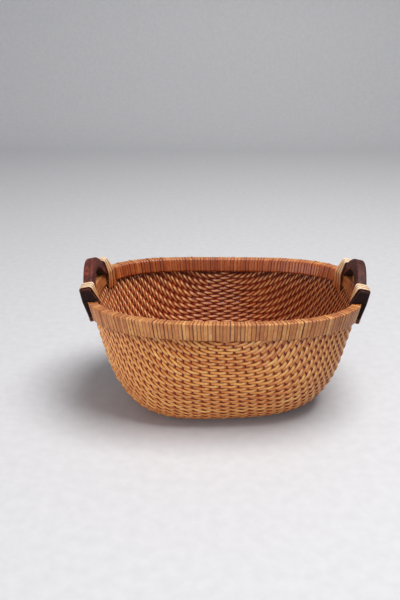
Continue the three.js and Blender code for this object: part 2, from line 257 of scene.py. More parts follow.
class MeshParts:
    """Collects grids of points into one mesh, with a few float attributes per point."""

    def __init__(self):
        self.points, self.faces, self.values, self.count = [], [], {}, 0

    def add(self, points, faces, **values):
        """Add a closed solid, its faces turned outwards."""
        a, b, c = (points[[f[i] for f in faces]] for i in range(3))
        if np.sum(np.cross(a, b) * c) < 0:
            faces = [f[::-1] for f in faces]
        self.points.append(points)
        self.faces += [tuple(int(i) + self.count for i in f) for f in faces]
        for key, value in values.items():
            self.values.setdefault(key, []).append(np.broadcast_to(value, len(points)))
        self.count += len(points)

    def build(self, name, material, node_name, slot):
        """Make one piece that shows in place of a node of the frame."""
        mesh = bpy.data.meshes.new(name)
        mesh.from_pydata((np.concatenate(self.points) * MM).tolist(), [], self.faces)
        for key, parts in self.values.items():
            attribute = mesh.attributes.new(key, "FLOAT", "POINT")
            attribute.data.foreach_set("value", np.concatenate(parts).astype(np.float32))
        mesh.polygons.foreach_set("use_smooth", [True] * len(mesh.polygons))
        mesh.materials.append(material)
        piece = bpy.data.objects.new(name, mesh)
        bpy.context.scene.collection.objects.link(piece)
        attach(piece, "root")
        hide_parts(node_name)


def tube_faces(stations, sides, closed):
    """Quads of a tube with points station by station.

    An open tube has a fan at each end, on two more points that follow the stations: the ends' middles.
    """
    i = np.arange(stations if closed else stations - 1)[:, None]
    k = np.arange(sides)[None, :]
    a = i * sides + k
    b = i * sides + (k + 1) % sides
    c = ((i + 1) % stations) * sides + (k + 1) % sides
    d = ((i + 1) % stations) * sides + k
    faces = np.stack([a, b, c, d], -1).reshape(-1, 4).tolist()
    if not closed:
        first, last = stations * sides, stations * sides + 1
        end = (stations - 1) * sides
        faces += [(first, (j + 1) % sides, j) for j in range(sides)]
        faces += [(last, end + j, end + (j + 1) % sides) for j in range(sides)]
    return faces


def tube(path, normal, half_width, half_height, sides):
    """Points of a tube of elliptical section along path, its height along normal."""
    tangent = unit(np.gradient(path, axis=0))
    side = unit(np.cross(tangent, normal))
    up = np.cross(side, tangent)
    angle = 2 * np.pi * np.arange(sides) / sides
    across, over = np.cos(angle), np.sin(angle)
    w = np.broadcast_to(half_width, len(path))[:, None, None]
    h = np.broadcast_to(half_height, len(path))[:, None, None]
    rings = path[:, None, :] + side[:, None, :] * across[None, :, None] * w
    rings = rings + up[:, None, :] * over[None, :, None] * h
    return np.concatenate([rings.reshape(-1, 3), path[:1], path[-1:]])


def per_station(values, sides):
    """Values given once for each station of an open tube, spread over all its points."""
    return np.append(np.repeat(values, sides), [values[0], values[-1]])


def per_side(values, stations):
    """Values given once for each side of an open tube, spread over all its points; 0 at the ends' middles."""
    return np.append(np.tile(values, stations), [0, 0])


def closed_rings(rings, side_x):
    """Points of an open tube through the rings, on the side of the basket that side_x, 1 or -1, asks for."""
    points = np.concatenate(rings + [[rings[0].mean(0)], [rings[-1].mean(0)]])
    return points * (side_x, side_x, 1)


def rounded_rectangle(half, radius, bend_points, shares):
    """Closed outline round the origin; each straight side has a point at each of the shares of its length."""
    bend = np.linspace(0, np.pi / 2, bend_points)
    arcs = []
    for turn, corner in enumerate(((1, 1), (-1, 1), (-1, -1), (1, -1))):
        angle = bend + turn * np.pi / 2
        arcs.append((half - radius) * corner + radius * np.stack([np.cos(angle), np.sin(angle)], -1))
    share = np.array(shares)[:, None]
    line = []
    for arc, following in zip(arcs, arcs[1:] + arcs[:1]):
        line += [arc, arc[-1] * (1 - share) + following[0] * share]
    return np.concatenate(line)


# ------------------------ materials

def srgb(red, green, blue):
    """Linear colour from the 0 to 255 values of a paint chart."""
    c = np.array([red, green, blue]) / 255
    return (*np.where(c <= 0.04045, c / 12.92, ((c + 0.055) / 1.055) ** 2.4), 1)


class Shader:
    """A node material built top down from a Principled shader."""

    def __init__(self, name, roughness, specular=0.5, coat=0.0):
        self.material = bpy.data.materials.new(name)
        self.material.use_nodes = True
        self.tree = self.material.node_tree
        self.shader = self.tree.nodes["Principled BSDF"]
        self.shader.inputs["Roughness"].default_value = roughness
        self.shader.inputs["Specular IOR Level"].default_value = specular
        self.shader.inputs["Coat Weight"].default_value = coat
        self.shader.inputs["Coat Roughness"].default_value = 0.2

    def node(self, kind, **inputs):
        made = self.tree.nodes.new("ShaderNode" + kind)
        for name, value in inputs.items():
            self.set(made.inputs[name], value)
        return made

    def set(self, socket, value):
        if isinstance(value, bpy.types.NodeSocket):
            self.tree.links.new(value, socket)
        else:
            socket.default_value = value

    def attribute(self, name):
        made = self.tree.nodes.new("ShaderNodeAttribute")
        made.attribute_name = name
        return made.outputs["Fac"]

    def math(self, operation, a, b=0.0):
        made = self.tree.nodes.new("ShaderNodeMath")
        made.operation = operation
        self.set(made.inputs[0], a)
        self.set(made.inputs[1], b)
        return made.outputs[0]

    def times(self, a, b):
        return self.math("MULTIPLY", a, b)

    def blend(self, share, a, b):
        """The share of a, given as a number, and the rest of b."""
        return self.math("ADD", self.times(a, share), self.times(b, round(1 - share, 6)))

    def vector(self, x=0.0, y=0.0, z=0.0):
        return self.node("CombineXYZ", X=x, Y=y, Z=z).outputs[0]

    def place(self):
        """The point on the object, in metres."""
        return self.node("TexCoord").outputs["Object"]

    def axis(self, vector, name):
        return self.node("SeparateXYZ", Vector=vector).outputs[name]

    def facing_up(self):
        """The surface normal's Z."""
        return self.axis(self.node("NewGeometry").outputs["Normal"], "Z")

    def stretched(self, vector, *scale):
        return self.node("Mapping", Vector=vector, Scale=scale).outputs[0]

    def noise(self, vector, scale, detail=2.0, roughness=0.5):
        made = self.node("TexNoise", Vector=vector, Scale=scale, Detail=detail, Roughness=roughness)
        return made.outputs["Fac"]

    def spread(self, value, low, high, to_low=0.0, to_high=1.0):
        made = self.tree.nodes.new("ShaderNodeMapRange")
        for name, number in (("From Min", low), ("From Max", high), ("To Min", to_low), ("To Max", to_high)):
            made.inputs[name].default_value = number
        self.set(made.inputs["Value"], value)
        return made.outputs["Result"]

    def ramp(self, value, *stops):
        made = self.tree.nodes.new("ShaderNodeValToRGB")
        self.set(made.inputs[0], value)
        elements = made.color_ramp.elements
        while len(elements) < len(stops):
            elements.new(0.5)
        for element, (place, colour) in zip(elements, stops):
            element.position = place
            element.color = colour
        return made.outputs["Color"]

    def mix(self, share, a, b, blend="MIX"):
        made = self.tree.nodes.new("ShaderNodeMix")
        made.data_type = "RGBA"
        made.blend_type = blend
        self.set(made.inputs[0], share)
        self.set(made.inputs[6], a)
        self.set(made.inputs[7], b)
        return made.outputs[2]

    def finish(self, colour, bump=None, bump_distance=0.0002, strength=0.5, roughness=None):
        self.set(self.shader.inputs["Base Color"], colour)
        if roughness is not None:
            self.set(self.shader.inputs["Roughness"], roughness)
        if bump is not None:
            made = self.node("Bump", Height=bump, Distance=bump_distance, Strength=strength)
            self.set(self.shader.inputs["Normal"], made.outputs[0])
        return self.material


def willow_material():
    """Varnished willow, faded by the sun to gold outside and deep red-brown inside, its tone by rod and bulge;
    painted highlights on the bulges and painted shade between the rods, in the dips, below the rim and
    underneath.

    Point attributes: along and around the rod; flank, 1 at the rod's two sides; face, 1 on its outer side and
    -1 on its inner one; tone; swing, 1 where the rod stands out most over a cord and -1 where it dips under
    one; dip, which tells the bulge's end before the dip; and reach, the share of the way up to the rim.
    """
    s = Shader("willow_rods", 0.36, 0.4, 0.15)
    along, around, tone, swing = (s.attribute(n) for n in ("along", "around", "tone", "swing"))
    flank, face, reach, dip = (s.attribute(n) for n in ("flank", "face", "reach", "dip"))
    fibre = s.noise(s.vector(s.times(along, 0.035), around, s.times(tone, 37.0)), 3.2, 3.0, 0.6)
    blotch = s.noise(s.vector(s.times(along, 0.03), s.times(tone, 91.0)), 1.0, 2.0)
    shade = s.blend(0.6, tone, blotch)
    proud = s.times(swing, face)
    # Painted highlight mask: the shoulder of each bulge just before it dips
    shoulder = s.times(s.spread(dip, 0.2, 0.95), s.spread(proud, -0.5, 0.1))

    # Outside: painted highlights where the rod stands out and on its shoulder before each dip; painted shade
    # between the rods and on the underside; darker and redder under the rim, part age, part painted shade
    outer_colour = s.ramp(
        shade,
        (0.18, srgb(166, 84, 36)),
        (0.38, srgb(198, 120, 54)),
        (0.58, srgb(218, 152, 78)),
        (0.82, srgb(240, 196, 118)),
    )
    # Painted highlights: paler where the rod stands out, paler still on the shoulder before each dip
    outer_colour = s.mix(s.spread(proud, 0.3, 0.95, 0.0, 0.4), outer_colour, srgb(244, 206, 132))
    outer_colour = s.mix(s.times(shoulder, 0.6), outer_colour, srgb(252, 226, 166))
    # Darker and redder just under the rim: part age, part painted shade of the rim band
    outer_colour = s.mix(s.spread(reach, 0.86, 0.96, 0.0, 0.5), outer_colour, srgb(146, 70, 34))
    # Painted shade between the rods, on their flanks
    outer_colour = s.mix(s.spread(flank, 0.7, 1.0, 0.0, 0.94), outer_colour, srgb(122, 36, 16))
    # Painted shade on the underside, the faces turned downwards
    outer_colour = s.mix(s.spread(s.facing_up(), -0.8, 0.0, 0.75, 0.0), outer_colour, srgb(152, 62, 28))

    # Inside: painted highlight along the top of each bulge, painted shade, nearly black, between the rods
    deep = s.ramp(
        shade,
        (0.18, srgb(128, 46, 24)),
        (0.38, srgb(166, 72, 35)),
        (0.58, srgb(192, 96, 48)),
        (0.82, srgb(220, 138, 76)),
    )
    # Painted highlight: a pale streak along the crest of each bulge, strongest at its shoulder
    crest = s.spread(flank, 0.25, 0.62, 1.0, 0.0)
    painted_glint = s.times(crest, s.math("ADD", 0.45, s.times(shoulder, 0.55)))
    painted_glint = s.times(painted_glint, s.spread(proud, -0.2, 0.5))
    deep = s.mix(painted_glint, deep, srgb(255, 230, 174))
    # Painted shade between the rods, nearly black
    deep = s.mix(s.spread(flank, 0.7, 1.0, 0.0, 0.92), deep, srgb(66, 18, 12))

    # Both: fibres, painted shadow of the rim band in the dips just below it, and painted shade in the dips
    colour = s.mix(s.spread(face, -0.3, 0.05), deep, outer_colour)
    streak = s.ramp(fibre, (0.3, srgb(186, 116, 66)), (0.52, srgb(240, 214, 178)), (0.7, srgb(255, 246, 226)))
    colour = s.mix(0.5, colour, streak, "MULTIPLY")
    # Painted shadow: nearly black in the dips just below the rim band
    painted_rim_shadow = s.times(s.spread(reach, 0.885, 0.945), s.spread(proud, -0.3, 0.6, 0.92, 0.0))
    colour = s.mix(painted_rim_shadow, colour, srgb(44, 14, 10))
    # Painted shade in the deepest dips, where the rod passes under a cord
    colour = s.mix(s.spread(proud, -0.99, -0.72), srgb(88, 26, 17), colour)
    return s.finish(colour, fibre, 0.00025, 0.5, s.spread(fibre, 0.3, 0.7, 0.42, 0.24))


def cord_material():
    """Twisted dark fibre, seen only in the dips."""
    s = Shader("dark_cords", 0.6, 0.3)
    twist = s.noise(s.vector(s.times(s.attribute("along"), 0.6), s.attribute("around")), 2.0, 2.0)
    return s.finish(s.ramp(twist, (0.3, srgb(84, 26, 18)), (0.7, srgb(128, 52, 32))), twist, 0.0003, 0.6)


def cane_material(name, tones, edge, roughness, coat, edge_from, least_edge, groove, height_tint):
    """Flat split cane: lengthwise fibres, dark edges and a tone of its own for each strip.

    tones are the dark, middle and light colours. The edges darken from the share edge_from of the half width,
    by least_edge at the least. groove darkens the middle line. The last argument sets how much the cane browns
    low down and how strong the painted highlight on top of the handles' feet is.
    """
    s = Shader(name, roughness, 0.5, coat)
    along, across, tone, inner = (s.attribute(n) for n in ("along", "across", "tone", "inner"))
    seed = s.times(tone, 53.0)
    fibre = s.noise(s.vector(s.times(along, 0.05), s.times(across, 1.5), seed), 4.0, 3.0, 0.6)
    blotch = s.noise(s.vector(s.times(along, 0.05), seed), 1.3, 2.0)
    colour = s.ramp(s.blend(0.5, tone, blotch), *zip((0.25, 0.5, 0.78), tones))
    streak = s.ramp(fibre, (0.3, srgb(176, 116, 70)), (0.55, srgb(246, 226, 196)), (0.72, srgb(255, 246, 226)))
    colour = s.mix(0.5, colour, streak, "MULTIPLY")
    colour = s.mix(s.times(inner, 0.85), colour, srgb(222, 158, 122), "MULTIPLY")
    height = s.axis(s.place(), "Z")
    colour = s.mix(s.spread(height, 0.165, 0.205, height_tint, 0.0), colour, srgb(206, 128, 82), "MULTIPLY")
    # Painted highlight: near-white on top of the handles' feet
    colour = s.mix(s.spread(height, 0.2, 0.21, 0.0, 0.6 * height_tint), colour, srgb(255, 244, 222))
    speckle = s.noise(s.place(), 260.0, 2.0)
    colour = s.mix(s.spread(speckle, 0.6, 0.7, 0.0, 0.45), colour, srgb(126, 56, 32))
    off_middle = s.math("ABSOLUTE", across)
    colour = s.mix(s.spread(off_middle, 0.0, 0.16, groove, 0.0), colour, edge)
    darkened = s.spread(s.noise(s.vector(seed), 1.0, 0.0), 0.35, 0.62, least_edge, 1.0)
    colour = s.mix(s.times(s.spread(off_middle, edge_from, 0.95, 0.0, 0.88), darkened), colour, edge)
    return s.finish(colour, fibre, 0.0002, 0.5, s.spread(fibre, 0.3, 0.7, roughness + 0.12, roughness - 0.06))


def hoop_material():
    """Split wood bent flat, its fibres running round the rim."""
    s = Shader("bent_hoop_wood", 0.38, 0.5, 0.2)
    place = s.place()
    fibre = s.noise(s.stretched(place, 12, 12, 260), 1.0, 4.0, 0.6)
    cloud = s.noise(place, 25.0, 2.0)
    shade = s.blend(0.6, fibre, cloud)
    colour = s.ramp(shade, (0.32, srgb(126, 66, 34)), (0.5, srgb(172, 104, 58)), (0.68, srgb(206, 146, 92)))
    return s.finish(colour, fibre, 0.0002, 0.4)


def handle_material():
    """Oiled dark wood with warped grain and fine pores; its cut ends are nearly black.

    Painted shade makes its underside nearly black and the right-hand handle darker; on the ends of the wedges
    and lips the black of the cut ends also stands for painted shade of the hollows round the lashing.
    """
    s = Shader("handle_walnut", 0.6, 0.25)
    place = s.place()
    warp = s.times(s.noise(s.stretched(place, 10, 4, 10), 2.0, 2.0), 2.5)
    bent = s.node("VectorMath")
    bent.operation = "ADD"
    s.set(bent.inputs[0], s.stretched(place, 150, 9, 150))
    s.set(bent.inputs[1], s.vector(warp, 0.0, warp))
    grain = s.noise(bent.outputs[0], 1.0, 4.0, 0.65)
    pores = s.noise(s.stretched(place, 900, 60, 900), 1.0, 2.0)
    colour = s.ramp(grain, (0.3, srgb(50, 16, 12)), (0.5, srgb(92, 38, 28)), (0.7, srgb(134, 64, 48)))
    colour = s.mix(s.spread(pores, 0.35, 0.5), srgb(30, 11, 8), colour)
    # Cut ends nearly black: end grain on the bar; on the wedge and lip ends also painted shade of the hollows
    # round the lashing
    from_middle = s.math("ABSOLUTE", s.axis(place, "Y"))
    colour = s.mix(s.spread(from_middle, 0.0745, 0.0772, 0.0, 0.92), colour, srgb(16, 8, 7))
    # Painted shade: faces turned downwards, such as the arch's underside, nearly black
    colour = s.mix(s.spread(s.facing_up(), -0.25, 0.0, 0.95, 0.0), colour, srgb(14, 6, 5))
    # Painted shade: the right-hand handle darker than the left
    colour = s.mix(s.spread(s.axis(place, "X"), -0.1, 0.1, 0.0, 0.5), colour, srgb(28, 10, 10))
    return s.finish(colour, pores, 0.00015, 0.5, s.spread(from_middle, 0.074, 0.077, 0.62, 0.95))


WILLOW = willow_material()
CORD = cord_material()
WRAP_CANE = cane_material(
    "rim_wrap_cane",
    tones=(srgb(150, 84, 40), srgb(184, 122, 64), srgb(214, 164, 98)),
    edge=srgb(92, 34, 18),
    roughness=0.42,
    coat=0.1,
    edge_from=0.62,
    least_edge=0.15,
    groove=0.0,
    height_tint=0.0,
)
LASHING_CANE = cane_material(
    "lashing_cane",
    tones=(srgb(206, 146, 86), srgb(236, 192, 132), srgb(255, 232, 192)),
    edge=srgb(72, 26, 14),
    roughness=0.3,
    coat=0.35,
    edge_from=0.5,
    least_edge=1.0,
    groove=0.4,
    height_tint=0.85,
)
HOOP_WOOD = hoop_material()
HANDLE_WOOD = handle_material()


# ------------------------ the woven body

def rod_shares(v):
    """Even steps along the rod at sheet share v: its u shares, and their distances from the rod's middle."""
    end = (1 - abs(v) ** PLAN_EXPONENT) ** (1 / PLAN_EXPONENT)
    fine = end * np.sin(np.linspace(-np.pi / 2, np.pi / 2, 801))
    walk = walked(np.linalg.norm(np.diff(sheet_point(fine, np.full_like(fine, v)), axis=0), axis=1))
    walk -= np.interp(0, fine, walk)
    steps = max(12, int((walk[-1] - walk[0]) / ROD_STEP))
    distance = np.linspace(walk[0], walk[-1], steps)
    return np.interp(distance, walk, fine), distance


def rod_spacing(u, v):
    """Distance across the rods between one rod and the next."""
    along = unit(np.gradient(sheet_point(u, np.full_like(u, v)), axis=0))
    shift = 0.5 * ROD_PITCH / HALF_SHEET
    low, high = abs(v) - shift, min(abs(v) + shift, 0.99)
    side = np.sign(v + 1e-9)
    step = sheet_point(u, np.full_like(u, high * side)) - sheet_point(u, np.full_like(u, low * side))
    across = step - along * np.sum(step * along, -1, keepdims=True)
    return np.linalg.norm(across, axis=-1) * (2 * shift) / (high - low)


def cord_pitch_at(v):
    """Distance along the rods between one cord and the next, less towards the front and the back of the rim."""
    return CORD_PITCH + (CORD_PITCH_AT_RIM - CORD_PITCH) * np.abs(v) ** 4


def rod_wave(phase):
    """A rod's place between its inner limit, -1, and outer limit, 1: it climbs slowly, then dips sharply."""
    turn = np.pi * phase
    wave = np.cos(turn - WAVE_SKEW * (1 + np.cos(turn)))
    return np.sign(wave) * np.abs(wave) ** WAVE_SHARPNESS


def make_rods(material):
    """All rods from the front of the rim to the back, each over one cord and under the next."""
    parts = MeshParts()
    number = 0
    angle = 2 * np.pi * (np.arange(ROD_SIDES) / ROD_SIDES)
    around = np.abs(np.arange(ROD_SIDES) / ROD_SIDES * 2 - 1) * 3.0
    for k in range(-RODS_EACH_SIDE, RODS_EACH_SIDE + 1):
        v = (k + rng.uniform(-ROD_PLACE_JITTER, ROD_PLACE_JITTER)) * ROD_PITCH / HALF_SHEET
        u, distance = rod_shares(v)
        vs = np.full_like(u, v)
        reach = reach_of(u, vs)
        woven = smoothstep((WOVEN_SHARE + WOVEN_FADE / 2 - reach) / WOVEN_FADE)
        phase = distance / cord_pitch_at(v) + k + rng.uniform(-ROD_PHASE_JITTER, ROD_PHASE_JITTER)
        swing = rod_wave(phase) * woven
        wander = np.sin(distance / rng.uniform(*ROD_WANDER_LENGTHS) + rng.uniform(0, 6)) - 1
        normal = sheet_normal(u, vs)
        path = sheet_point(u, vs) + normal * (ROD_SWING * swing + wander * ROD_WANDER)[:, None]
        from_end = np.minimum(distance - distance[0], distance[-1] - distance)
        dip = np.sin(np.pi * (phase - 0.25))
        taper = ROD_TIP_SHARE + (1 - ROD_TIP_SHARE) * smoothstep((from_end - ROD_TIP_BLUNT) / ROD_TIP_LENGTH)
        thickness = rng.uniform(*ROD_THICKNESSES)
        half_width = np.clip(ROD_HALF_WIDTH_SHARE * rod_spacing(u, v), *ROD_HALF_WIDTH_LIMITS) * taper
        points = tube(path, normal, half_width, ROD_RADIUS * thickness * taper, ROD_SIDES)
        bulge = np.floor(phase / 2 + 0.25).astype(int)
        tone = rng.normal(0.5, ROD_TONE_JITTER)
        tone = tone + rng.normal(0, BULGE_TONE_JITTER, 200)[bulge % 200]
        stations = {"along": distance, "tone": tone, "swing": swing, "reach": reach, "dip": dip}
        sides = {"around": around, "flank": np.abs(np.cos(angle)), "face": np.sin(angle)}
        parts.add(
            points, tube_faces(len(u), ROD_SIDES, False),
            **{name: per_station(values, ROD_SIDES) for name, values in stations.items()},
            **{name: per_side(values, len(u)) for name, values in sides.items()},
        )
        if (k + RODS_EACH_SIDE) % RODS_PER_PIECE == RODS_PER_PIECE - 1 or k == RODS_EACH_SIDE:
            number += 1
            parts.build(f"willow_rods_{number:02d}", material, "woven_body", "willow")
            parts = MeshParts()


def make_cords(material):
    """Dark cords that cross the rods, under each bulge and over each dip."""
    parts = [MeshParts() for _ in range(CORD_PIECES)]
    ks = np.arange(-RODS_EACH_SIDE, RODS_EACH_SIDE + 0.01, 1 / CORD_STEPS_PER_ROD)
    vs = ks * ROD_PITCH / HALF_SHEET
    shares = [rod_shares(v) for v in vs]
    longest = max(distance[-1] for _, distance in shares)
    for j in range(-int(longest / CORD_PITCH), int(longest / CORD_PITCH) + 1):
        here = []
        for k, v, (u, distance) in zip(ks, vs, shares):
            at = j * cord_pitch_at(v)
            if abs(at) > distance[-1]:
                continue
            share = np.interp(at, distance, u)
            if reach_of(share, v) < WOVEN_SHARE:
                here.append((k, share, v))
        if len(here) < CORD_LEAST_STATIONS:
            continue
        k, u, v = np.array(here).T
        normal = sheet_normal(u, v)
        lift = -CORD_SWING * np.cos(np.pi * (k + j))
        path = sheet_point(u, v) + normal * lift[:, None]
        points = tube(path, normal, CORD_HALF_WIDTH, CORD_HALF_HEIGHT, CORD_SIDES)
        walk = walked(np.linalg.norm(np.diff(path, axis=0), axis=1))
        parts[j % CORD_PIECES].add(
            points, tube_faces(len(u), CORD_SIDES, False),
            along=per_station(walk, CORD_SIDES), around=per_side(np.arange(CORD_SIDES) / 4.0, len(u)),
        )
    for number, part in enumerate(parts):
        part.build(f"binding_cords_{number + 1}", material, "woven_body", "willow")


make_rods(WILLOW)
make_cords(CORD)


# ------------------------ rim wrap

def rim_outline(angle, inset, height):
    """Point of the rim at an angle, drawn in by inset and height above the rim's edge."""
    drawn_in = inset - RIM_FLARE * height
    power = 2 / PLAN_EXPONENT
    c, s = np.cos(angle), np.sin(angle)
    x = np.sign(c) * (RIM_HALF_LENGTH - drawn_in) * np.abs(c) ** power
    y = np.sign(s) * (RIM_HALF_DEPTH - drawn_in) * np.abs(s) ** power
    return np.stack([x, y, RIM_HEIGHT + height + END_RISE * (x / RIM_HALF_LENGTH) ** 2], -1)


def wrap_section():
    """Insets and heights of the strips' outer face, from the outer lower edge over the top to the inner one."""
    arc = np.linspace(0, np.pi / 2, 6)
    outer = np.linspace(-OUTER_BAND, -WRAP_CORNER, 9)[:-1]
    inner = np.linspace(-WRAP_CORNER, -INNER_BAND, 8)[1:]
    inwards, down = WRAP_CORNER * (1 - np.cos(arc)), WRAP_CORNER * (np.sin(arc) - 1)
    inset = np.concatenate([0 * outer, inwards, RIM_WIDTH - inwards[::-1], RIM_WIDTH + 0 * inner])
    height = np.concatenate([outer, down, down[::-1], inner])
    return inset, height


def make_strip(parts, middle, width, lift, lean):
    """One turn of cane over the rim.

    middle and width are distances along the rim, lift raises the strip, and lean shifts its inner end sideways.
    """
    inset, height = wrap_section()
    rows = len(inset)
    across = np.linspace(-1, 1, STRIP_COLUMNS)
    crown = STRIP_CROWN * (1 - across ** 2) + lift
    out, up = np.gradient(height), np.gradient(inset)
    size = np.hypot(out, up)
    out, up = out / size, up / size
    top, bottom = [], []
    for i in range(rows):
        place = middle + lean * (i / (rows - 1) - 0.5) + across * width / 2
        angle = np.interp(place, RIM_WALK, RIM_ANGLE)
        high = crown * (0.4 + 0.6 * np.sin(np.pi * np.clip((i + 0.5) / rows, 0, 1)))
        top.append(rim_outline(angle, inset[i] - out[i] * high, height[i] + up[i] * high))
        low = high - WRAP
        bottom.append(rim_outline(angle, inset[i] - out[i] * low, height[i] + up[i] * low))
    columns = STRIP_COLUMNS
    points = np.concatenate(top + bottom)
    size = rows * columns
    faces = []
    for i in range(rows - 1):
        for c in range(columns - 1):
            a = i * columns + c
            faces.append((a, a + columns, a + columns + 1, a + 1))
            faces.append((size + a, size + a + 1, size + a + columns + 1, size + a + columns))
    edge = [i * columns for i in range(rows)]
    edge += [(rows - 1) * columns + c for c in range(1, columns)]
    edge += [i * columns + columns - 1 for i in range(rows - 2, -1, -1)]
    edge += list(range(columns - 2, 0, -1))
    for a, b in zip(edge, edge[1:] + edge[:1]):
        faces.append((b, a, size + a, size + b))
    walk = walked(np.hypot(np.diff(inset), np.diff(height)))
    inner = smoothstep((inset / RIM_WIDTH - 0.75) / 0.25)
    parts.add(
        points, faces,
        along=np.tile(np.repeat(walk, columns), 2),
        across=np.tile(across, 2 * rows),
        inner=np.tile(np.repeat(inner, columns), 2),
        tone=np.clip(rng.normal(0.5, 0.18), 0, 1),
    )


def rim_walk():
    """Matching angles and distances along the rim's edge."""
    angle = np.linspace(0, 2 * np.pi, 7201)
    line = rim_outline(angle, 0, 0)
    return angle, walked(np.linalg.norm(np.diff(line, axis=0), axis=1))


RIM_ANGLE, RIM_WALK = rim_walk()


def make_wrap(name, node, start):
    """The turns of cane over half of the rim, from the angle start on, that end at the handles."""
    stop_angle = math.asin((WRAP_STOP / (RIM_HALF_DEPTH - RIM_WIDTH)) ** (PLAN_EXPONENT / 2))
    first = np.interp(start + stop_angle, RIM_ANGLE, RIM_WALK)
    last = np.interp(start + math.pi - stop_angle, RIM_ANGLE, RIM_WALK)
    strips, at = [], first
    while at < last:
        width = rng.uniform(*STRIP_WIDTHS)
        gap = rng.choice(STRIP_GAPS, p=STRIP_GAP_ODDS)
        strips.append((at + width / 2, width))
        at += width + gap
    scale = (last - first) / (at - gap - first)
    share = math.ceil(len(strips) / WRAP_PIECES)
    for number in range(WRAP_PIECES):
        parts = MeshParts()
        for middle, width in strips[number * share:(number + 1) * share]:
            lift = rng.choice(STRIP_LIFTS, p=STRIP_LIFT_ODDS)
            make_strip(parts, first + (middle - first) * scale, width * scale, lift, rng.normal(0, STRIP_LEAN))
        parts.build(f"{name}_{number + 1}", WRAP_CANE, node, "wrap_cane")


make_wrap("wrap_strips_front", "rim_wrap_front", math.pi)
make_wrap("wrap_strips_back", "rim_wrap_back", 0)


# ------------------------ lashings

def rim_x_at_depth(y, inset, height):
    """Distance of the rim from the Y axis where it passes the depth y."""
    drawn_in = inset - RIM_FLARE * height
    share = (y / (RIM_HALF_DEPTH - drawn_in)) ** PLAN_EXPONENT
    return (RIM_HALF_LENGTH - drawn_in) * (1 - share) ** (1 / PLAN_EXPONENT)


def bar_point(across, up):
    """X and Z of a point of the right-hand bar, across its thickness and up its tilted face."""
    sin, cos = math.sin(HANDLE_TILT), math.cos(HANDLE_TILT)
    return np.array([HANDLE_INNER_X + across * cos + up * sin, SEAT_HEIGHT - across * sin + up * cos])


def foot_spread(y):
    """How far a foot's inner side has sloped inwards at the seat, at depth y."""
    return WEDGE_SPREAD * max(0, (y - HANDLE_HALF_LENGTH + FOOT_LENGTH) / FOOT_LENGTH)


def loop_corners(y):
    """Corners in X and Z of a strand's loop at depth y, from the bar's top outer one, anticlockwise."""
    clear = STRAND_CLEAR
    top = FOOT_HEIGHT + FOOT_RISE + GAP
    face = HANDLE_THICKNESS + clear
    inside = lambda height: rim_x_at_depth(y, RIM_WIDTH + clear, height)
    outside = lambda height: rim_x_at_depth(y, -clear, height)
    return np.array([
        bar_point(face, top),
        bar_point(-clear, top),
        (min(HANDLE_INNER_X - foot_spread(y) - clear, inside(0)), SEAT_HEIGHT),
        (inside(-INNER_BAND), RIM_HEIGHT - INNER_BAND),
        (inside(-INNER_BAND), PASS_INSIDE),
        (outside(-OUTER_BAND), PASS_OUTSIDE),
        (outside(-OUTER_BAND), RIM_HEIGHT - OUTER_BAND),
        (max(bar_point(face, 0)[0], outside(0)), SEAT_HEIGHT - face * math.sin(HANDLE_TILT)),
    ])


def rounded_loop(corners, steps, radius=3.2):
    """Closed polygon with its corners rounded and each straight stretch cut into its own number of steps."""
    bend = np.linspace(0, 1, 7)[:, None]
    arcs = []
    for before, here, after in zip(np.roll(corners, 1, 0), corners, np.roll(corners, -1, 0)):
        back, on = before - here, after - here
        cut = min(radius, 0.45 * np.linalg.norm(back), 0.45 * np.linalg.norm(on))
        a = here + back / np.linalg.norm(back) * cut
        b = here + on / np.linalg.norm(on) * cut
        arcs.append((1 - bend) ** 2 * a + 2 * bend * (1 - bend) * here + bend ** 2 * b)
    line = []
    for arc, following, count in zip(arcs, arcs[1:] + arcs[:1], steps):
        share = (np.arange(1, count) / count)[:, None]
        line += [arc, arc[-1] * (1 - share) + following[0] * share]
    return np.concatenate(line)


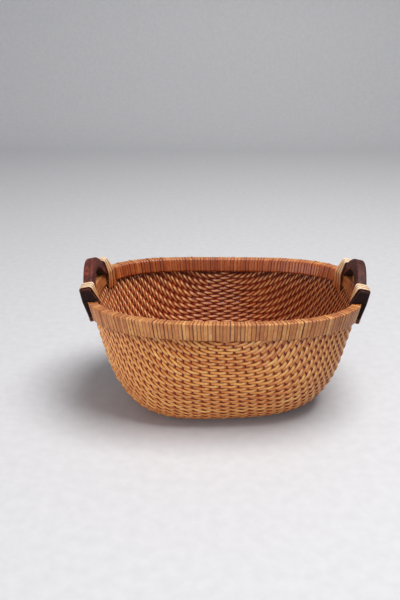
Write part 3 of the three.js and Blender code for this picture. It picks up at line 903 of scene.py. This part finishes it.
def make_strand(node, y, side_x, side_y):
    """Flat strip of cane in a closed loop with a groove down its middle.

    Each of its two edges follows the foot and the rim at its own depth.
    """
    half = STRAND_WIDTH / 2
    edges = [loop_corners(y - half), loop_corners(y + half)]
    lengths = np.linalg.norm(np.roll(edges[0], -1, 0) - edges[0], axis=1)
    steps = np.maximum(2, (lengths / STRAND_STEP).astype(int))
    near, far = (rounded_loop(corners, steps) for corners in edges)
    middle = (near + far) / 2
    tangent = unit(np.roll(middle, -1, 0) - np.roll(middle, 1, 0))
    out = np.stack([tangent[:, 1], -tangent[:, 0]], -1)
    out *= np.sign(np.sum((middle - middle.mean(0)) * out))
    angle = 2 * np.pi * np.arange(STRAND_SIDES) / STRAND_SIDES
    across = np.sign(np.cos(angle)) * np.abs(np.cos(angle)) ** STRAND_ROUNDNESS
    over = np.sin(angle)
    groove = 1 - GROOVE_DEPTH * np.exp(-(across / GROOVE_HALF_WIDTH) ** 2)
    thick = STRAND_MIDDLE + np.where(over > 0, STRAND_OUTER_HALF * over * groove, STRAND_INNER_HALF * over)
    walk = walked(np.linalg.norm(np.diff(middle, axis=0), axis=1))
    turn = 2 * np.pi * walk / walk[-1]
    drift = STRAND_DRIFT * np.sin(turn + rng.uniform(0, 6))
    rise = STRAND_RISE * (1 + np.sin(2 * turn + rng.uniform(0, 6)))
    share = (across[None, :] + 1) / 2
    flat = near[:, None, :] * (1 - share[..., None]) + far[:, None, :] * share[..., None]
    flat = flat + out[:, None, :] * (thick[None, :] + rise[:, None])[..., None]
    depth = y + across[None, :] * half + drift[:, None]
    rings = np.stack([side_x * flat[..., 0], side_y * depth, flat[..., 1]], -1)
    parts = MeshParts()
    parts.add(
        rings.reshape(-1, 3), tube_faces(len(middle), STRAND_SIDES, True),
        along=np.repeat(walk, STRAND_SIDES), across=np.tile(across, len(middle)), inner=0.0,
        tone=np.clip(rng.normal(0.55, 0.15), 0, 1),
    )
    parts.build(f"cane_{node}", LASHING_CANE, node, "lashing_cane")


for side, side_x in (("left", -1), ("right", 1)):
    for end, side_y in (("front", -1), ("back", 1)):
        for i in range(STRANDS):
            y = LASHING_MIDDLE + (i - (STRANDS - 1) / 2) * STRAND_PITCH
            make_strand(f"lashing_{side}_{end}_{i + 1}", y, side_x, side_y)


# ------------------------ handles

def half_bar():
    """Lower and upper edge of a bar's half in its own plane, as matching points from its end to its middle."""
    foot = HANDLE_HALF_LENGTH - FOOT_LENGTH
    shoulder = foot + CROWN_SETBACK
    foot_top = FOOT_HEIGHT + FOOT_RISE
    under = CROWN_HEIGHT - CROWN_THICKNESS
    t = np.linspace(0, 1, 9)[:-1, None]
    low = (1 - t) * (-HANDLE_HALF_LENGTH, 0) + t * (-foot, 0)
    high = (1 - t) * (-HANDLE_HALF_LENGTH, FOOT_HEIGHT) + t * (-shoulder, foot_top)
    t = np.linspace(0, 1, 33)[:, None]
    arch = (1 - t) ** 3 * (-foot, 0) + 3 * t * (1 - t) ** 2 * (-ARCH_FOOT, ARCH_FOOT_HEIGHT)
    arch = arch + 3 * t ** 2 * (1 - t) * (-ARCH_SHOULDER, under) + t ** 3 * (0, under)
    crown = (1 - t) ** 2 * (-shoulder, foot_top) + 2 * t * (1 - t) * (-CROWN_SHOULDER, CROWN_HEIGHT)
    crown = crown + t ** 2 * (0, CROWN_HEIGHT)
    return np.concatenate([low, arch]), np.concatenate([high, crown])


def bar_section(height, inset):
    """Rounded rectangle as [across, up] points round the bar's middle, drawn in by inset."""
    half = np.array([HANDLE_THICKNESS / 2 - inset, height / 2 - inset])
    return rounded_rectangle(half, max(BAR_EDGE - inset, 0.2), 6, (0.12, 0.5, 0.88))


def rounded_outline(corners, radius):
    """Closed outline in X and Z with its corners rounded and three points on each straight stretch."""
    return rounded_loop(np.array(corners), [4] * len(corners), radius)


def wedge_outline(y):
    """Corners of the wedge that spreads inwards over the rim, at depth y.

    Its nearly black end is painted shade of the hollow under the lashing.
    """
    return [
        bar_point(WEDGE_BURIED, 0), bar_point(WEDGE_BURIED, WEDGE_HEIGHT), bar_point(0, WEDGE_HEIGHT),
        (HANDLE_INNER_X - foot_spread(y), SEAT_HEIGHT),
    ]


def lip_outline(y):
    """Corners of the lip that hooks down over the rim's outer side, at depth y."""
    start = HANDLE_HALF_LENGTH - LIP_LENGTH
    depth = LIP_ROOT + (LIP_DEPTH - LIP_ROOT) * (y - start) / LIP_LENGTH
    last = LASHING_MIDDLE + STRAND_PITCH + STRAND_WIDTH / 2
    face_x, face_z = bar_point(HANDLE_THICKNESS, 0)
    low_x = rim_x_at_depth(last, -GAP, -OUTER_BAND)
    low = SEAT_HEIGHT - depth
    outer = face_x + (low - face_z) * (face_x - low_x) / (face_z - RIM_HEIGHT + OUTER_BAND)
    rim = lambda z: rim_x_at_depth(y, WRAP, z - RIM_HEIGHT - END_RISE)
    return [
        (min(rim(low), outer - LEAST_LIP), low),
        (outer, low),
        (face_x, face_z),
        bar_point(HANDLE_THICKNESS / 2, LIP_BURIED),
        (min(rim(SEAT_HEIGHT), face_x - LEAST_LIP), SEAT_HEIGHT),
    ]


def make_foot(parts, outline, start, side_x, side_y):
    """Solid between the outlines at depth start and at the bar's end, with its far edge eased."""
    end = HANDLE_HALF_LENGTH - FOOT_SETBACK
    stations = [(y, 0.0) for y in np.linspace(start, end - FOOT_EASE, 8)]
    for angle in np.linspace(0.3, np.pi / 2, 5):
        stations.append((end - FOOT_EASE * (1 - math.sin(angle)), FOOT_EASE * (1 - math.cos(angle))))
    rings = []
    for y, drawn_in in stations:
        flat = rounded_outline(outline(y), FOOT_EDGE)
        middle = flat.mean(0)
        arm = flat - middle
        reach = np.linalg.norm(arm, axis=1, keepdims=True)
        flat = middle + arm * np.maximum(reach - drawn_in, 0.3) / reach
        rings.append(np.stack([flat[:, 0], np.full(len(flat), side_y * y), flat[:, 1]], -1))
    parts.add(closed_rings(rings, side_x), tube_faces(len(rings), len(rings[0]), False))


def make_handle(side, side_x):
    """A bar in sections from its front end to its back end, with its wedges and lips."""
    low, high = (np.concatenate([edge, edge[-2::-1] * (-1, 1)]) for edge in half_bar())
    ease = np.linspace(0, np.pi / 2, 6)[:-1]
    ends = [(0.0, BAR_EDGE + 0.8)]
    ends += [(BAR_EDGE * (1 - math.cos(a)), BAR_EDGE * (1 - math.sin(a))) for a in ease]
    rings = []
    for (y, z), (y2, z2), move, inset in (
        [(low[0], high[0], move, inset) for move, inset in ends]
        + [(a, b, 0.0, 0.0) for a, b in zip(low[1:-1], high[1:-1])]
        + [(low[-1], high[-1], -move, inset) for move, inset in ends[::-1]]
    ):
        up = np.array([y2 - y, z2 - z])
        height = np.linalg.norm(up)
        section = bar_section(height, inset)
        middle = np.array([y + y2, z + z2]) / 2 + (move, 0)
        flat = middle + section[:, 1:] * up / height
        x, top = bar_point(section[:, 0] + HANDLE_THICKNESS / 2, flat[:, 1])
        rings.append(np.stack([x, flat[:, 0], np.maximum(top, SEAT_HEIGHT)], -1))
    parts = MeshParts()
    parts.add(closed_rings(rings, side_x), tube_faces(len(rings), len(rings[0]), False))
    for side_y in (-1, 1):
        make_foot(parts, wedge_outline, HANDLE_HALF_LENGTH - FOOT_LENGTH + FOOT_START, side_x, side_y)
        make_foot(parts, lip_outline, HANDLE_HALF_LENGTH - LIP_LENGTH + FOOT_START, side_x, side_y)
    parts.build(f"handle_bar_{side}", HANDLE_WOOD, f"handle_{side}", "handle_wood")


make_handle("left", -1)
make_handle("right", 1)


# ------------------------ hoops

def make_hoop(name, node, inset, width, low, high):
    """Bent strip round the rim with eased edges, its outer face drawn in by inset, between two heights."""
    half = np.array([width / 2, (high - low) / 2])
    section = rounded_rectangle(half, min(0.9, 0.45 * width), 4, (0.1, 0.5, 0.9))
    stations = 480
    turn = np.linspace(0, 2 * np.pi, stations, endpoint=False)
    rings = [
        rim_outline(angle, inset + width / 2 - section[:, 0], (low + high) / 2 + section[:, 1])
        for angle in turn
    ]
    parts = MeshParts()
    parts.add(np.concatenate(rings), tube_faces(stations, len(section), True))
    parts.build(name, HOOP_WOOD, node, "hoop_wood")


make_hoop("outer_hoop_strip", "outer_rim_hoop", WRAP + GAP, HOOP, HOOP_SHORT - OUTER_BAND, -HOOP_DROP)
make_hoop("inner_hoop_strip", "inner_rim_hoop", INNER_HOOP_INSET, HOOP, HOOP_SHORT - INNER_BAND, -HOOP_DROP)
make_hoop("filler_rod", "rim_filler_rod", WALL_INSET, WALL, -HOOP_DROP - FILLER, -HOOP_DROP)


# ------------------------ floor, light and camera

def make_floor():
    """Pale sheet that runs back and bends up into a wall far behind the object."""
    half_width, front, back, bend_radius, top = 5, -3, 3.2, 0.8, 4
    bend = np.linspace(0, np.pi / 2, 12)
    depth = np.concatenate([[front], back - bend_radius + bend_radius * np.sin(bend), [back]])
    height = np.concatenate([[0], bend_radius * (1 - np.cos(bend)), [top]])
    mesh = bpy.data.meshes.new("floor")
    points = [(x, y, z) for y, z in zip(depth, height) for x in (-half_width, half_width)]
    mesh.from_pydata(points, [], [(i, i + 1, i + 3, i + 2) for i in range(0, len(points) - 2, 2)])
    mesh.polygons.foreach_set("use_smooth", [True] * len(mesh.polygons))
    s = Shader("pale_floor", 0.55, 0.25)
    grain = s.noise(s.place(), 60.0, 3.0)
    mesh.materials.append(s.finish(s.ramp(grain, (0.3, srgb(190, 191, 194)), (0.7, srgb(196, 197, 200)))))
    floor = bpy.data.objects.new("floor", mesh)
    bpy.context.scene.collection.objects.link(floor)


def make_light(name, place, size, power, colour):
    """Rectangular light of the size in metres that faces the basket's middle."""
    target = Vector((0, 0, 0.1))
    data = bpy.data.lights.new(name, "AREA")
    data.shape = "RECTANGLE"
    data.size, data.size_y = size
    data.energy = power
    data.color = colour
    lamp = bpy.data.objects.new(name, data)
    lamp.location = place
    lamp.rotation_euler = (target - Vector(place)).to_track_quat("-Z", "Y").to_euler()
    bpy.context.scene.collection.objects.link(lamp)


def make_world(colour, strength):
    """Even light from all round."""
    world = bpy.data.worlds.new("world")
    world.use_nodes = True
    background = world.node_tree.nodes["Background"]
    background.inputs["Color"].default_value = colour
    background.inputs["Strength"].default_value = strength
    bpy.context.scene.world = world


def make_camera():
    """The photo's camera, solved from the outlines of the rim, the wall and the handles."""
    data = bpy.data.cameras.new("camera")
    data.sensor_width = 36
    data.lens = 42.51
    data.clip_start = 0.01
    camera = bpy.data.objects.new("camera", data)
    camera.location = (-0.000717, -1.04804, 0.566315)
    forward = Vector((-0.03296, 0.93178, -0.36155))
    look = forward.to_track_quat("-Z", "Y")
    roll = Euler((0, 0, -0.005)).to_quaternion()
    camera.rotation_mode = "QUATERNION"
    camera.rotation_quaternion = look @ roll
    bpy.context.scene.collection.objects.link(camera)
    bpy.context.scene.camera = camera


make_floor()
make_light("window", place=(0.65, -0.2, 2.65), size=(1.5, 1.5), power=98, colour=(1.0, 0.98, 0.96))
make_light("front", place=(-1.5, -1.8, 0.3), size=(1.6, 0.45), power=30, colour=(1.0, 0.99, 0.98))
make_world(colour=(0.95, 0.95, 1.0, 1), strength=0.33)
bpy.context.scene.view_settings.view_transform = "Standard"
make_camera()
